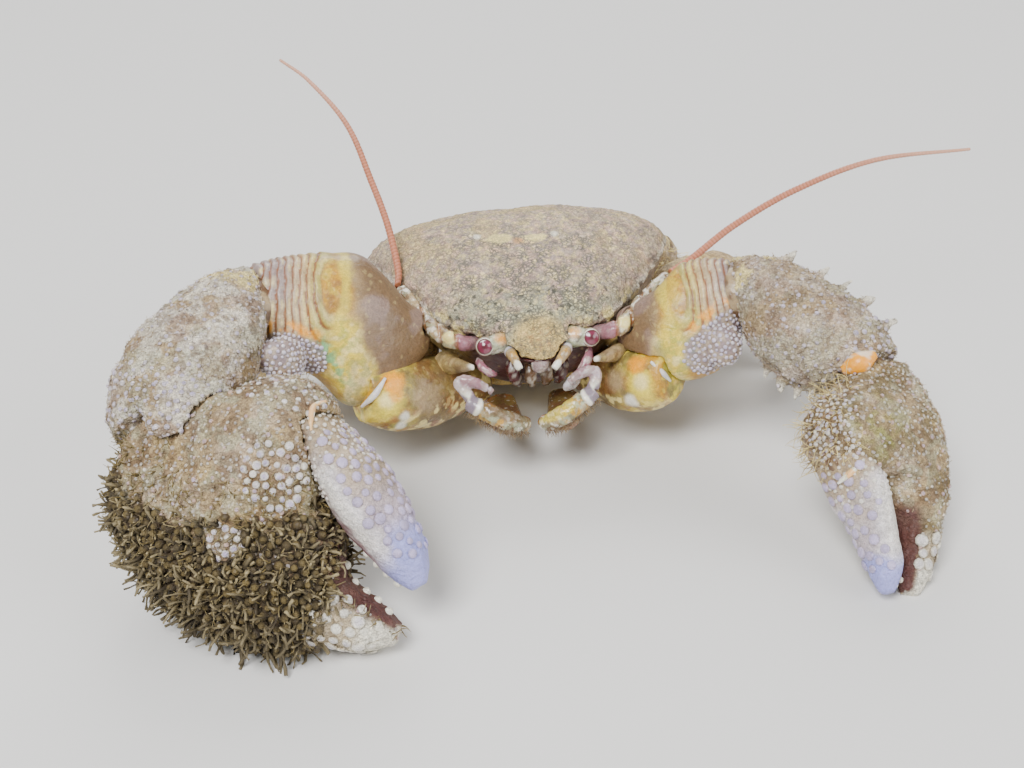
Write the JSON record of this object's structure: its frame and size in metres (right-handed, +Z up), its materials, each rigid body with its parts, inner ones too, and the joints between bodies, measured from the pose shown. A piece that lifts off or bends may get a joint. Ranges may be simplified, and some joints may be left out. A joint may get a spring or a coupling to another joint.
{
  "type": "porcelain crab",
  "caption": "Small stocky porcelain crab, standing with its unequal claws hung in front: grainy shell, a tufted big claw, broad brown arms and long thin feelers.",
  "frame": {"origin": "middle of the underside of the model's box, on the floor that the crab stands on", "axes": "+X to the crab's own left, +Y to its rear (its face looks along -Y), +Z up"},
  "size_m": [0.0468, 0.033, 0.0169],
  "materials": {
    "shell": "matt, mottled, grainy shell",
    "smooth_shell": "smooth, slightly glossy yellow-green shell",
    "eye": "glossy dark maroon",
    "feeler": "satin salmon-brick, finely ringed"
  },
  "bodies": {
    "root": {"carapace": "shell", "thorax": "smooth_shell", "abdomen": "smooth_shell", "tail_fan": "smooth_shell", "eye_left": "eye", "eyestalk_left": "smooth_shell", "antenna_base_left": "shell", "antenna_left": "feeler", "antennule_left": "shell", "jaw_base_left": "shell", "jaw_arm_left": "shell", "claw_ischium_left": "smooth_shell", "claw_merus_left": "smooth_shell", "claw_carpus_left": "shell", "claw_palm_left": "shell", "claw_finger_left": "shell", "brush_leg_left": "shell", "leg_first_left_coxa": "shell", "leg_first_left_merus": "shell", "leg_first_left_carpus": "shell", "leg_first_left_propodus": "shell", "leg_first_left_dactyl": "shell", "leg_second_left_coxa": "shell", "leg_second_left_merus": "shell", "leg_second_left_carpus": "shell", "leg_second_left_propodus": "shell", "leg_second_left_dactyl": "shell", "leg_third_left_coxa": "shell", "leg_third_left_merus": "shell", "leg_third_left_carpus": "shell", "leg_third_left_propodus": "shell", "leg_third_left_dactyl": "shell", "eye_right": "eye", "eyestalk_right": "smooth_shell", "antenna_base_right": "shell", "antenna_right": "feeler", "antennule_right": "shell", "jaw_base_right": "shell", "jaw_arm_right": "shell", "claw_ischium_right": "smooth_shell", "claw_merus_right": "smooth_shell", "claw_carpus_right": "shell", "claw_palm_right": "shell", "claw_finger_right": "shell", "brush_leg_right": "shell", "leg_first_right_coxa": "shell", "leg_first_right_merus": "shell", "leg_first_right_carpus": "shell", "leg_first_right_propodus": "shell", "leg_first_right_dactyl": "shell", "leg_second_right_coxa": "shell", "leg_second_right_merus": "shell", "leg_second_right_carpus": "shell", "leg_second_right_propodus": "shell", "leg_second_right_dactyl": "shell", "leg_third_right_coxa": "shell", "leg_third_right_merus": "shell", "leg_third_right_carpus": "shell", "leg_third_right_propodus": "shell", "leg_third_right_dactyl": "shell"}
  },
  "joints": []
}
